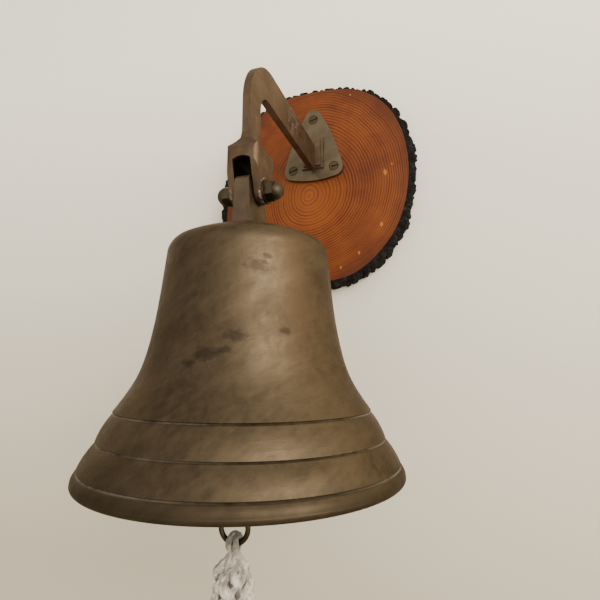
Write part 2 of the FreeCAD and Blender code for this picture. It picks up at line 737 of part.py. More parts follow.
build_slice()
build_hangers()
build_wall_plate()
build_plate_screws()
build_arm()
build_pivot()
build_bell()
build_lug()
build_crown_fixings()
build_clapper()
build_ring()
build_rope()
doc.recompute()

for item in doc.Objects:
    if "Invalid" in item.State or "Error" in item.State:
        raise RuntimeError(f"{item.Name} did not compute: {item.State}")

os.makedirs("parts", exist_ok=True)
for made in NODES:
    shape = made.Shape
    if shape.isNull() or not shape.isValid() or shape.Volume <= 0:
        raise RuntimeError(f"{made.Label} has no valid solid")
    shape.exportStep(f"parts/{made.Label}.step")
    print(f"{made.Label:22s} solids {len(shape.Solids)}  volume {shape.Volume:10.1f} mm3")
print("clapper hinge", tuple(CLAPPER_HINGE))
print("ring hinge", tuple(RING_HINGE))
print("rope hinge", tuple(ROPE_HINGE))
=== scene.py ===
import bpy
import json
import math

from mathutils import Matrix, Vector, noise


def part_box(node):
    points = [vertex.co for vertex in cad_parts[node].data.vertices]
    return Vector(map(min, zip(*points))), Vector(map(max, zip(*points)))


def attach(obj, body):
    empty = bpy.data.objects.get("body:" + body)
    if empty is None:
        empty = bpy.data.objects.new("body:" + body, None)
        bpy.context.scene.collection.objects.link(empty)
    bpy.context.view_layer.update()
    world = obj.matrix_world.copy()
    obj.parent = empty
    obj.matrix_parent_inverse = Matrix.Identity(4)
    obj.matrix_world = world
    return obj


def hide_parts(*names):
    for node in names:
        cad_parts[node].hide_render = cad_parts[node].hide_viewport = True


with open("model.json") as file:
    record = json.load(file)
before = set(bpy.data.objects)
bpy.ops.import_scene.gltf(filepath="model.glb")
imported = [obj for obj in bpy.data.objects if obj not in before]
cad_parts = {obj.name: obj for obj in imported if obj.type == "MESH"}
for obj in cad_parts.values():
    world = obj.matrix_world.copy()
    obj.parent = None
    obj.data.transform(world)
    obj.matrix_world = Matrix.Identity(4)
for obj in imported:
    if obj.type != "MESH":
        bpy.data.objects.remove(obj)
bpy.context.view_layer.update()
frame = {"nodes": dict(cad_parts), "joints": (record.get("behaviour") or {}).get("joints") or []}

MM = 0.001

# --- places, from the frame and from part.py ------------------------------------------------

JOINT_AT = {j["name"]: Vector(j["pos_m"]) for j in frame["joints"]}
PIVOT = JOINT_AT["bell_swing"]
ROPE_HINGE = JOINT_AT["rope_swing"]
BELL_LOW, BELL_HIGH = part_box("bell_shell")
SLICE_LOW, SLICE_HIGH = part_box("wood_slice")
PITH = Vector((-0.006, SLICE_LOW.y, -0.012))

# part.py's route of the plait: across and down from the rope's hinge, in millimetres
ROPE_ROUTE = [(0.0, -12.0), (-2.6, -58.0), (-3.4, -112.0), (-1.4, -172.0)]

# --- the stage, in metres -------------------------------------------------------------------

WALL_Y = 0.0015          # just behind the slice's back
FLOOR_Z = -1.3
CONTACT = 0.006          # rays that start nearer the wall than this pass through it

# --- marks on the surfaces, in millimetres --------------------------------------------------

# the bell's three grooves: radius of the bell there and height above its rim
GROOVES = [(98.5, 9.3), (89.4, 24.4), (81.0, 40.5)]

# dark smudges on the bell: place and size
BELL_SMUDGES = [(20, -240, -175, 5.5), (6, -245, -185, 6.0), (15, -243, -183, 3.5),
                (28, -230, -135, 6.5), (43, -225, -172, 3.0), (-4, -245, -190, 4.0),
                (33, -228, -129, 3.0), (-52, -221, -196, 4.0), (30, -139, -150, 6.0)]

# pale scars in the wood: across, up and size
PALE_MARKS = [(75, 4, 2.6), (70, -50, 2.2), (47, -78, 1.6), (28, -92, 1.4), (82, 12, 1.4),
              (-66, 66, 1.8), (40, 96, 1.2)]

# directions of the slanted wiping marks in the brass
SLANT = [(0.82, 0.0, 0.57), (0.0, 1.0, 0.0), (-0.57, 0.0, 0.82)]


# --- camera, light and stage ----------------------------------------------------------------

def make_camera():
    data = bpy.data.cameras.new("camera")
    data.sensor_width = 36.0
    data.lens = 27.12
    camera = bpy.data.objects.new("camera", data)
    bpy.context.scene.collection.objects.link(camera)
    turn_left, tilt_up, roll = (math.radians(a) for a in (18.16, 8.32, 0.2))
    camera.matrix_world = (
        Matrix.Translation((0.1291, -0.4610, -0.1914))
        @ Matrix.Rotation(turn_left, 4, "Z")
        @ Matrix.Rotation(math.pi / 2 + tilt_up, 4, "X")
        @ Matrix.Rotation(roll, 4, "Z")
    )
    bpy.context.scene.camera = camera


def area_light(name, at, aim, width, height, power, colour):
    data = bpy.data.lights.new(name, "AREA")
    data.shape = "RECTANGLE"
    data.size, data.size_y = width, height
    data.energy = power
    data.color = colour
    light = bpy.data.objects.new(name, data)
    light.location = at
    light.rotation_euler = (Vector(aim) - Vector(at)).to_track_quat("-Z", "Y").to_euler()
    bpy.context.scene.collection.objects.link(light)


def plane(name, corners):
    mesh = bpy.data.meshes.new(name)
    mesh.from_pydata(corners, [], [(0, 1, 2, 3)])
    made = bpy.data.objects.new(name, mesh)
    bpy.context.scene.collection.objects.link(made)
    return made


def make_stage():
    wall = plane("wall", [(-4, WALL_Y, FLOOR_Z), (4, WALL_Y, FLOOR_Z), (4, WALL_Y, 3),
                          (-4, WALL_Y, 3)])
    wall.data.materials.append(wall_paint())
    floor = plane("floor", [(-4, WALL_Y, FLOOR_Z), (-4, -5, FLOOR_Z), (4, -5, FLOOR_Z),
                            (4, WALL_Y, FLOOR_Z)])
    floor.data.materials.append(floor_paint())
    bpy.context.scene.world = make_room()
    centre = (0, -0.1, -0.15)
    area_light("window", (1.40, -1.35, 0.32), centre, 1.5, 1.2, 46, (1.0, 0.965, 0.92))


def make_room():
    """A dim room whose bright side, with the window, lies to the front and the right."""
    world = bpy.data.worlds.new("room")
    world.use_nodes = True
    tree = world.node_tree
    background = tree.nodes["Background"]
    place = tree.nodes.new("ShaderNodeTexCoord")
    towards = tree.nodes.new("ShaderNodeVectorMath")
    towards.operation = "DOT_PRODUCT"
    towards.inputs[1].default_value = Vector((0.62, -0.78, 0.22)).normalized()
    tree.links.new(place.outputs["Generated"], towards.inputs[0])
    bright = tree.nodes.new("ShaderNodeMapRange")
    bright.interpolation_type = "SMOOTHSTEP"
    for socket, value in (("From Min", 0.15), ("From Max", 0.97), ("To Min", 0.84),
                          ("To Max", 1.95)):
        bright.inputs[socket].default_value = value
    tree.links.new(towards.outputs["Value"], bright.inputs["Value"])
    tree.links.new(bright.outputs[0], background.inputs["Strength"])
    background.inputs["Color"].default_value = (1.0, 0.965, 0.91, 1)
    return world


# --- node helpers ---------------------------------------------------------------------------

class Paint:
    """A material's node tree with short ways to add what the materials here need."""

    def __init__(self, name):
        self.material = bpy.data.materials.new(name)
        self.material.use_nodes = True
        self.tree = self.material.node_tree
        self.shader = self.tree.nodes["Principled BSDF"]
        self.place = self.add("ShaderNodeTexCoord").outputs["Object"]

    def add(self, kind, **settings):
        node = self.tree.nodes.new(kind)
        for key, value in settings.items():
            setattr(node, key, value)
        return node

    def link(self, value, socket):
        if isinstance(value, bpy.types.NodeSocket):
            self.tree.links.new(value, socket)
        else:
            socket.default_value = value

    def math(self, operation, *values, clamp=False):
        node = self.add("ShaderNodeMath", operation=operation, use_clamp=clamp)
        for value, socket in zip(values, node.inputs):
            self.link(value, socket)
        return node.outputs[0]

    def vector(self, operation, *values):
        node = self.add("ShaderNodeVectorMath", operation=operation)
        for value, socket in zip(values, node.inputs):
            self.link(value, socket)
        return node.outputs["Value" if operation == "LENGTH" else "Vector"]

    def vector_dot(self, vector, axis):
        node = self.add("ShaderNodeVectorMath", operation="DOT_PRODUCT")
        self.link(vector, node.inputs[0])
        node.inputs[1].default_value = axis
        return node.outputs["Value"]

    def split(self, vector):
        node = self.add("ShaderNodeSeparateXYZ")
        self.link(vector, node.inputs[0])
        return node.outputs

    def join(self, x, y, z):
        node = self.add("ShaderNodeCombineXYZ")
        for value, socket in zip((x, y, z), node.inputs):
            self.link(value, socket)
        return node.outputs[0]

    def noise(self, scale, stretch=(1, 1, 1), detail=4.0, rough=0.55, at=None):
        """Noise whose features are about 1/scale metres wide, from 0 to 1."""
        mapped = self.vector("MULTIPLY", self.place if at is None else at, stretch)
        node = self.add("ShaderNodeTexNoise")
        self.link(mapped, node.inputs["Vector"])
        node.inputs["Scale"].default_value = scale
        node.inputs["Detail"].default_value = detail
        node.inputs["Roughness"].default_value = rough
        return node.outputs["Fac"]

    def noise_colour(self, scale):
        """Three noises at once, as a colour."""
        node = self.add("ShaderNodeTexNoise")
        self.link(self.place, node.inputs["Vector"])
        node.inputs["Scale"].default_value = scale
        node.inputs["Detail"].default_value = 2.0
        return node.outputs["Color"]

    def ramp(self, value, *stops):
        node = self.add("ShaderNodeValToRGB")
        self.link(value, node.inputs[0])
        band = node.color_ramp
        while len(band.elements) < len(stops):
            band.elements.new(0.5)
        for element, (position, colour) in zip(band.elements, stops):
            element.position = position
            grey = isinstance(colour, (int, float))
            element.color = (colour,) * 3 + (1,) if grey else (*colour, 1)
        return node.outputs["Color"]

    def mix(self, share, first, second):
        node = self.add("ShaderNodeMix", data_type="RGBA")
        self.link(share, node.inputs["Factor"])
        for value, index in ((first, 6), (second, 7)):
            value = (*value, 1) if isinstance(value, tuple) else value
            self.link(value, node.inputs[index])
        return node.outputs[2]

    def bump(self, height, depth, strength=1.0, under=None):
        node = self.add("ShaderNodeBump")
        node.inputs["Strength"].default_value = strength
        node.inputs["Distance"].default_value = depth
        self.link(height, node.inputs["Height"])
        if under is not None:
            self.link(under, node.inputs["Normal"])
        return node.outputs["Normal"]

    def finish(self, colour=None, rough=None, normal=None, **constants):
        if colour is not None:
            self.link(colour, self.shader.inputs["Base Color"])
        if rough is not None:
            self.link(rough, self.shader.inputs["Roughness"])
        if normal is not None:
            self.link(normal, self.shader.inputs["Normal"])
        for key, value in constants.items():
            self.shader.inputs[key.replace("_", " ")].default_value = value
        return self.material


# --- materials ------------------------------------------------------------------------------

def wall_paint():
    paint = Paint("wall_paint")
    grain = paint.noise(900, detail=6)
    # painted shade: the wall's colour darkens towards the bottom
    height = paint.math("MULTIPLY_ADD", paint.split(paint.place)[2], 1.6, 0.66, clamp=True)
    colour = paint.mix(height, (0.52, 0.455, 0.335), (0.98, 0.93, 0.775))
    material = paint.finish(colour, 0.85, paint.bump(grain, 0.0004, 0.35),
                            Specular_IOR_Level=0.2)
    # the wall is not there from behind, nor for the back of the slice, which would be black
    clear = paint.add("ShaderNodeBsdfTransparent")
    either = paint.add("ShaderNodeMixShader")
    behind = paint.add("ShaderNodeNewGeometry").outputs["Backfacing"]
    touching = paint.math("LESS_THAN", paint.add("ShaderNodeLightPath").outputs["Ray Length"],
                          CONTACT)
    behind = paint.math("MAXIMUM", behind, touching)
    output = paint.tree.nodes["Material Output"]
    paint.link(behind, either.inputs[0])
    paint.link(paint.shader.outputs[0], either.inputs[1])
    paint.link(clear.outputs[0], either.inputs[2])
    paint.link(either.outputs[0], output.inputs["Surface"])
    return material


def floor_paint():
    paint = Paint("floor_paint")
    colour = paint.mix(paint.noise(3, detail=3), (0.62, 0.59, 0.54), (0.68, 0.65, 0.60))
    return paint.finish(colour, 0.8)


def aged_brass(name, light, dark, rough=0.42, scratches=0.5, smudge=0.5, extra=()):
    """Worn satin brass: brown patina in clouds, fine handling marks and dark smudges.

    Each of extra adds marks, and gives the colour, how much there is and whether it is metal.
    """
    paint = Paint(name)
    clouds = paint.ramp(paint.noise(26, detail=5, rough=0.6), (0.32, 0.0), (0.68, 1.0))
    colour = paint.mix(clouds, dark, light)
    mottle = paint.ramp(paint.noise(190, (1, 1, 0.6), 6, 0.65), (0.38, 0.0), (0.62, 1.0))
    colour = paint.mix(paint.math("MULTIPLY", mottle, 0.30), colour,
                       tuple(c * 1.5 for c in light))
    slanted = paint.join(*[paint.vector_dot(paint.place, axis) for axis in SLANT])
    brushing = paint.noise(75, (0.45, 0.45, 1.5), 6, 0.62, at=slanted)
    brushing = paint.ramp(brushing, (0.44, 0.0), (0.60, 1.0))
    colour = paint.mix(paint.math("MULTIPLY", brushing, 0.38), colour,
                       tuple(c * 1.55 for c in light))
    stain = paint.ramp(paint.noise(38, (1, 1, 1.7), 7, 0.72), (0.60, 0.0), (0.72, 1.0))
    colour = paint.mix(paint.math("MULTIPLY", stain, smudge), colour,
                       tuple(c * 0.42 for c in dark))
    specks = paint.ramp(paint.noise(900, detail=2), (0.70, 0.0), (0.78, 1.0))
    colour = paint.mix(paint.math("MULTIPLY", specks, 0.25), colour, (0.20, 0.17, 0.13))
    dull = None
    for mark in extra:
        colour, amount, is_metal = mark(paint, colour)
        if not is_metal:
            dull = amount if dull is None else paint.math("MAXIMUM", dull, amount)
    brushed = paint.noise(420, (1, 1, 0.12), 3, 0.6)
    marks = paint.ramp(paint.noise(150, (0.25, 0.25, 2.2), 5, 0.7), (0.55, 0.0), (0.64, 1.0))
    wear = paint.math("MULTIPLY_ADD", clouds, -0.10, rough + 0.05)
    wear = paint.math("MULTIPLY_ADD", mottle, 0.12, wear)
    wear = paint.math("MULTIPLY_ADD", brushed, 0.10, wear, clamp=True)
    normal = paint.bump(brushed, 0.00003, 0.5)
    normal = paint.bump(marks, 0.00005, scratches, normal)
    normal = paint.bump(paint.noise(60, detail=3), 0.0004, 0.30, normal)
    metal = 1.0
    if dull is not None:
        metal = paint.math("SUBTRACT", 1.0, dull)
        wear = paint.math("MAXIMUM", wear, paint.math("MULTIPLY", dull, 0.8))
    paint.link(metal, paint.shader.inputs["Metallic"])
    return paint.finish(colour, wear, normal, Specular_Tint=(0.62, 0.60, 0.58, 1))


def bell_smudges_and_painted_light(paint, colour):
    """A painted orange highlight band beside the bell's highlight, a lip painted darker as shade, and
    dark smudges.
    """
    across, depth, height = paint.split(paint.place)
    # painted highlight: an orange band round the side of the bell where the highlight falls
    turn = paint.math("ARCTAN2", paint.math("SUBTRACT", depth, PIVOT.y), across)
    ragged = paint.math("MULTIPLY", paint.noise(30, detail=5, rough=0.7), 0.5)
    painted_highlight_band = paint.math("ABSOLUTE", paint.math("ADD", turn, paint.math("ADD", ragged, 0.35)))
    painted_highlight_band = paint.math("SUBTRACT", 1.0, paint.math("DIVIDE", painted_highlight_band, 0.36), clamp=True)
    body = paint.math("SUBTRACT", height, BELL_LOW.z + 0.045)
    body = paint.math("DIVIDE", body, 0.045, clamp=True)
    painted_highlight_band = paint.math("MULTIPLY", paint.math("MULTIPLY", painted_highlight_band, body), 0.42)
    colour = paint.mix(painted_highlight_band, colour, (0.112, 0.068, 0.033))
    # painted shade: the bell is darker towards its rim
    lip = paint.math("SUBTRACT", BELL_LOW.z + 0.013, height)
    lip = paint.math("DIVIDE", lip, 0.008, clamp=True)
    colour = paint.mix(paint.math("MULTIPLY", lip, 0.6), colour, (0.036, 0.027, 0.016))
    for x, y, z, size in BELL_SMUDGES:
        spot = paint.vector("SUBTRACT", paint.place, (x * MM, y * MM, z * MM))
        spot = paint.vector("MULTIPLY", spot, (0.8, 0.8, 1.4))
        edge = paint.math("MULTIPLY", paint.noise(230, (1, 1, 1.6), 5, 0.75), size * 2.3 * MM)
        inside = paint.math("SUBTRACT", edge, paint.vector("LENGTH", spot))
        amount = paint.math("DIVIDE", inside, size * 0.6 * MM, clamp=True)
        colour = paint.mix(paint.math("MULTIPLY", amount, 0.62), colour, (0.026, 0.018, 0.013))
    return colour, 0.0, True


def bell_residue(paint, colour):
    """Pale polish dried in the bell's grooves and on the boss round the crown lug."""
    across, depth, height = paint.split(paint.place)
    turn = paint.math("ARCTAN2", paint.math("SUBTRACT", depth, PIVOT.y), across)
    aside = paint.math("ABSOLUTE", paint.math("ADD", turn, 0.95))
    aside = paint.math("DIVIDE", paint.math("SUBTRACT", aside, 0.25), 0.5, clamp=True)
    aside = paint.math("MULTIPLY_ADD", aside, 0.55, 0.22)
    broken = paint.ramp(paint.noise(40, detail=5, rough=0.7), (0.34, 0.15), (0.54, 1.0))
    radius = paint.vector("LENGTH", paint.join(across, paint.math("SUBTRACT", depth, PIVOT.y),
                                               0.0))
    total = 0.0
    for outside, above_rim in GROOVES:
        level = BELL_LOW.z + above_rim * MM
        away = paint.math("ABSOLUTE", paint.math("SUBTRACT", height, level))
        line = paint.math("SUBTRACT", 1.2, paint.math("DIVIDE", away, 0.0006), clamp=True)
        outer = paint.math("GREATER_THAN", radius, (outside - 3) * MM)
        total = paint.math("MAXIMUM", total, paint.math("MULTIPLY", line, outer))
    total = paint.math("MULTIPLY", paint.math("MULTIPLY", total, broken), aside)
    flecks = paint.ramp(paint.noise(170, detail=5, rough=0.75), (0.50, 0.0), (0.58, 1.0))
    boss = paint.math("GREATER_THAN", height, BELL_HIGH.z - 0.0030)
    flecks = paint.math("MULTIPLY", paint.math("MULTIPLY", boss, flecks), 0.55)
    total = paint.math("MAXIMUM", total, flecks)
    return paint.mix(total, colour, (0.17, 0.145, 0.105)), total, False


def painted_slot_shade(paint, colour):
    """Painted shade: the inside of the fork's slot is painted near black, as the recess is in shade.
    """
    across, depth, height = paint.split(paint.place)
    narrow = paint.math("LESS_THAN", paint.math("ABSOLUTE", across), 0.00675)
    low = paint.math("LESS_THAN", height, PIVOT.z + 0.0220)
    front = paint.math("SUBTRACT", depth, PIVOT.y - 0.0155)
    deep = paint.math("DIVIDE", front, 0.004, clamp=True)
    amount = paint.math("MULTIPLY", paint.math("MULTIPLY", narrow, low), deep)
    amount = paint.math("MULTIPLY", amount, 0.92)
    return paint.mix(amount, colour, (0.006, 0.005, 0.004)), amount, True


def arm_residue(paint, colour):
    """Pale scratches half way along the bar and dried polish round the nut's washer."""
    across, depth, height = paint.split(paint.place)
    spot = paint.vector("SUBTRACT", paint.place, (0.003, -0.098, 0.029))
    near = paint.math("DIVIDE", paint.vector("LENGTH", spot), 0.021)
    near = paint.math("SUBTRACT", 1.0, near, clamp=True)
    lines = paint.math("ABSOLUTE", paint.math("SUBTRACT", paint.noise(130, (1, 1, 0.6), 3), 0.5))
    lines = paint.math("SUBTRACT", 1.0, paint.math("DIVIDE", lines, 0.016), clamp=True)
    total = paint.math("MULTIPLY", paint.math("MULTIPLY", near, lines), 1.4, clamp=True)
    off = paint.join(0.0, paint.math("SUBTRACT", depth, PIVOT.y),
                     paint.math("SUBTRACT", height, PIVOT.z))
    off = paint.math("ABSOLUTE", paint.math("SUBTRACT", paint.vector("LENGTH", off), 0.0091))
    ring = paint.math("SUBTRACT", 1.0, paint.math("DIVIDE", off, 0.0012), clamp=True)
    outside = paint.math("GREATER_THAN", paint.math("ABSOLUTE", across), 0.0100)
    crumbs = paint.ramp(paint.noise(420, detail=5, rough=0.75), (0.47, 0.0), (0.56, 1.0))
    ring = paint.math("MULTIPLY", paint.math("MULTIPLY", ring, outside), crumbs)
    total = paint.math("MULTIPLY", paint.math("MAXIMUM", total, ring), 0.75)
    return paint.mix(total, colour, (0.26, 0.22, 0.17)), total, False


def painted_screw_gap_shade(paint, colour):
    """Painted shade: a dark ring in the gap round each screw's head."""
    across, _, height = paint.split(paint.place)
    total = 0.0
    for name in ("top", "left", "right"):
        low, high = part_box(f"plate_screw_{name}")
        middle = (low + high) / 2
        off = paint.join(paint.math("SUBTRACT", across, middle.x), 0.0,
                         paint.math("SUBTRACT", height, middle.z))
        off = paint.math("ABSOLUTE", paint.math("SUBTRACT", paint.vector("LENGTH", off), 0.0047))
        ring = paint.math("SUBTRACT", 1.3, paint.math("DIVIDE", off, 0.0006), clamp=True)
        total = paint.math("MAXIMUM", total, ring)
    total = paint.math("MULTIPLY", total, 0.9)
    return paint.mix(total, colour, (0.012, 0.009, 0.006)), total, True


def outline_harmonics(count=4):
    """Cosine and sine terms of the wood's radius about the pith, from the CAD slice."""
    mesh = frame["nodes"]["wood_slice"].data
    radii = {}
    for vertex in mesh.vertices:
        across, up = vertex.co.x - PITH.x, vertex.co.z - PITH.z
        radius, angle = math.hypot(across, up), math.atan2(up, across)
        step = round(math.degrees(angle) / 5) % 72
        radii[step] = max(radii.get(step, 0.0), radius)
    terms = [(sum(radii.values()) / len(radii), 0.0)]
    for order in range(1, count):
        angles = [(math.radians(step * 5) * order, r) for step, r in radii.items()]
        terms.append((2 * sum(r * math.cos(a) for a, r in angles) / len(angles),
                      2 * sum(r * math.sin(a) for a, r in angles) / len(angles)))
    return terms


def ring_wood():
    """Varnished end grain: growth rings about the pith that turn into the slice's outline."""
    paint = Paint("varnished_end_grain")
    wobble = paint.vector("SUBTRACT", paint.noise_colour(14), (0.5, 0.5, 0.5))
    wobble = paint.vector("MULTIPLY", wobble, (0.007, 0.0, 0.007))
    fine = paint.vector("SUBTRACT", paint.noise_colour(95), (0.5, 0.5, 0.5))
    fine = paint.vector("MULTIPLY", fine, (0.0016, 0.0, 0.0016))
    here = paint.vector("SUBTRACT", paint.place, tuple(PITH))
    here = paint.vector("ADD", paint.vector("MULTIPLY", here, (1, 0, 1)), fine)
    radius = paint.vector("LENGTH", here)
    settle = paint.math("DIVIDE", radius, 0.09, clamp=True)
    shifted = paint.vector("SCALE", wobble)
    paint.link(settle, shifted.node.inputs["Scale"])
    here = paint.vector("ADD", here, shifted)
    radius = paint.math("MAXIMUM", paint.vector("LENGTH", here), 0.0002)
    parts = paint.split(here)
    cos1, sin1 = paint.math("DIVIDE", parts[0], radius), paint.math("DIVIDE", parts[2], radius)
    terms = outline_harmonics()
    edge = terms[0][0]
    cosine, sine = cos1, sin1
    for even, odd in terms[1:]:
        edge = paint.math("ADD", edge, paint.math("MULTIPLY", cosine, even))
        edge = paint.math("ADD", edge, paint.math("MULTIPLY", sine, odd))
        cosine, sine = (
            paint.math("SUBTRACT", paint.math("MULTIPLY", cosine, cos1),
                       paint.math("MULTIPLY", sine, sin1)),
            paint.math("ADD", paint.math("MULTIPLY", sine, cos1),
                       paint.math("MULTIPLY", cosine, sin1)),
        )
    share = paint.math("DIVIDE", radius, edge)
    years = paint.math("ADD", paint.math("MULTIPLY", share, 22.0),
                       paint.math("MULTIPLY", paint.math("MULTIPLY", share, share), 13.0))
    years = paint.math("ADD", years, paint.math("MULTIPLY", paint.noise(22, detail=2), 0.9))
    season = paint.math("FRACT", years)
    late = paint.ramp(season, (0.0, 0.35), (0.12, 0.0), (0.48, 0.10), (0.76, 0.95), (0.93, 1.0),
                      (1.0, 0.35))
    one_year = paint.join(paint.math("FLOOR", years), 0.0, 0.0)
    strength = paint.ramp(paint.noise(0.73, detail=1, at=one_year), (0.34, 0.35), (0.62, 1.0))
    late = paint.math("MULTIPLY", late, strength)
    faint = paint.ramp(paint.noise(30, detail=4), (0.35, 0.65), (0.60, 1.0))
    late = paint.math("MULTIPLY", paint.math("MULTIPLY", late, faint), 1.15, clamp=True)
    patches = paint.ramp(paint.noise(24, detail=5, rough=0.6), (0.36, 0.0), (0.68, 1.0))
    early = paint.mix(patches, (0.200, 0.050, 0.004), (0.125, 0.027, 0.003))
    dark = paint.mix(patches, (0.052, 0.008, 0.002), (0.030, 0.005, 0.0015))
    colour = paint.mix(late, early, dark)
    streaks = paint.noise(60, (1, 0.2, 1), 6, 0.75)
    colour = paint.mix(paint.math("MULTIPLY", streaks, 0.30), colour, (0.055, 0.011, 0.003))
    heart = paint.math("SUBTRACT", 1.0, paint.math("DIVIDE", share, 0.45), clamp=True)
    colour = paint.mix(paint.math("MULTIPLY", heart, 0.30), colour, (0.33, 0.095, 0.012))
    stains = paint.ramp(paint.noise(32, (0.8, 1, 1.3), 5, 0.66), (0.55, 0.0), (0.68, 1.0))
    stains = paint.math("MULTIPLY", paint.math("MULTIPLY", stains, 0.55), paint.math(
        "MULTIPLY_ADD", paint.split(paint.place)[2], 9.0, 0.35, clamp=True))
    colour = paint.mix(stains, colour, (0.060, 0.012, 0.006))
    rim = paint.ramp(share, (0.86, 0.0), (0.985, 1.0))
    colour = paint.mix(paint.math("MULTIPLY", rim, 0.55), colour, (0.050, 0.012, 0.004))
    for across, up, size in PALE_MARKS:
        spot = paint.vector("SUBTRACT", paint.place, (across * MM, 0.0, up * MM))
        spot = paint.vector("MULTIPLY", spot, (1.5, 0.0, 0.8))
        ragged = paint.math("MULTIPLY", paint.noise(260, detail=4, rough=0.7), size * 2.2 * MM)
        inside = paint.math("SUBTRACT", ragged, paint.vector("LENGTH", spot))
        amount = paint.math("DIVIDE", inside, size * 0.35 * MM, clamp=True)
        colour = paint.mix(paint.math("MULTIPLY", amount, 0.75), colour, (0.36, 0.135, 0.025))
    pores = paint.noise(1500, detail=2)
    relief = paint.math("ADD", paint.math("MULTIPLY", late, 0.7), paint.math("MULTIPLY", pores, 0.25))
    normal = paint.bump(relief, 0.00018, 0.6)
    rough = paint.math("MULTIPLY_ADD", paint.noise(35, detail=5), 0.20, 0.34)
    return paint.finish(colour, rough, normal, Specular_IOR_Level=0.18)


def bark_paint():
    paint = Paint("bark_crust")
    plates = paint.noise(160, (1, 0.7, 1), 7, 0.7)
    colour = paint.ramp(plates, (0.28, (0.002, 0.0016, 0.0013)), (0.50, (0.007, 0.0055, 0.0045)),
                        (0.66, (0.020, 0.015, 0.012)), (0.80, (0.060, 0.048, 0.038)))
    lichen = paint.ramp(paint.noise(70, detail=6, rough=0.7), (0.62, 0.0), (0.70, 1.0))
    colour = paint.mix(paint.math("MULTIPLY", lichen, 0.35), colour, (0.075, 0.068, 0.052))
    normal = paint.bump(plates, 0.0012, 0.9)
    normal = paint.bump(paint.noise(900, detail=5), 0.0003, 0.7, normal)
    return paint.finish(colour, 0.88, normal, Specular_IOR_Level=0.12)


def rope_paint():
    """Off-white cotton, grey with dirt near the ring, with painted shade in the crevices between the
    strands.
    """
    paint = Paint("cotton_rope")
    clouds = paint.ramp(paint.noise(170, (1, 1, 0.5), 5, 0.7), (0.40, 0.0), (0.58, 1.0))
    colour = paint.mix(clouds, (0.25, 0.205, 0.15), (0.61, 0.55, 0.44))
    across, depth, height = paint.split(paint.place)
    top = paint.math("DIVIDE", paint.math("SUBTRACT", height, ROPE_HINGE.z - 0.010), 0.012,
                     clamp=True)
    grime = paint.math("MULTIPLY", top, paint.ramp(paint.noise(160, detail=4), (0.3, 0.5),
                                                   (0.6, 1.0)))
    colour = paint.mix(grime, colour, (0.09, 0.08, 0.052))
    down = paint.math("ADD", height, 0.100 - ROPE_HINGE.z)
    bow = paint.math("MULTIPLY", paint.math("MULTIPLY", down, down), 0.38)
    off = paint.join(paint.math("SUBTRACT", across, paint.math("ADD", bow, ROPE_HINGE.x - 0.0031)),
                     paint.math("SUBTRACT", depth, ROPE_HINGE.y), 0.0)
    # painted shade between the strands of the plait, below the eye
    strand_crevice_shade = paint.math("SUBTRACT", 0.0119, paint.vector("LENGTH", off))
    strand_crevice_shade = paint.math("MULTIPLY", strand_crevice_shade, 1 / 0.0028, clamp=True)
    low = paint.math("LESS_THAN", height, ROPE_HINGE.z - 0.020)
    strand_crevice_shade = paint.math("MULTIPLY", paint.math("MULTIPLY", strand_crevice_shade, low), 0.85)
    colour = paint.mix(strand_crevice_shade, colour, (0.085, 0.065, 0.045))
    spots = paint.ramp(paint.noise(240, detail=5, rough=0.7), (0.52, 0.0), (0.66, 1.0))
    colour = paint.mix(paint.math("MULTIPLY", spots, 0.55), colour, (0.22, 0.18, 0.135))
    fibres = paint.noise(2600, (1, 1, 0.35), 3)
    normal = paint.bump(fibres, 0.00022, 0.8)
    return paint.finish(colour, 0.92, normal, Sheen_Weight=0.35, Sheen_Roughness=0.5,
                        Subsurface_Weight=0.08, Subsurface_Scale=0.002)


def plain_steel():
    paint = Paint("zinc_plate")
    colour = paint.mix(paint.noise(120, detail=4), (0.27, 0.27, 0.265), (0.40, 0.40, 0.385))
    rough = paint.math("MULTIPLY_ADD", paint.noise(300, detail=3), 0.2, 0.3)
    return paint.finish(colour, rough, paint.bump(paint.noise(700), 0.00002, 0.5), Metallic=1.0)


# --- mesh helpers ---------------------------------------------------------------------------

def new_piece(name, verts, faces, material, body, slot, *nodes):
    mesh = bpy.data.meshes.new(name)
    mesh.from_pydata([tuple(v) for v in verts], [], faces)
    mesh.polygons.foreach_set("use_smooth", [True] * len(mesh.polygons))
    mesh.update()
    made = bpy.data.objects.new(name, mesh)
    bpy.context.scene.collection.objects.link(made)
    mesh.materials.append(material)
    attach(made, body)
    if nodes:
        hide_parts(*nodes)
    return made


def frames_along(points, closed=False):
    """A pair of side directions at each point of a line, turned as little as possible."""
    count = len(points)
    tangents = []
    for index in range(count):
        before = points[index - 1] if index or closed else points[0]
        after = points[(index + 1) % count] if index < count - 1 or closed else points[-1]
        tangents.append((after - before).normalized())
    side = tangents[0].orthogonal().normalized()
    frames = []
    for tangent in tangents:
        side = (side - tangent * side.dot(tangent)).normalized()
        frames.append((side.copy(), tangent.cross(side)))
    return frames


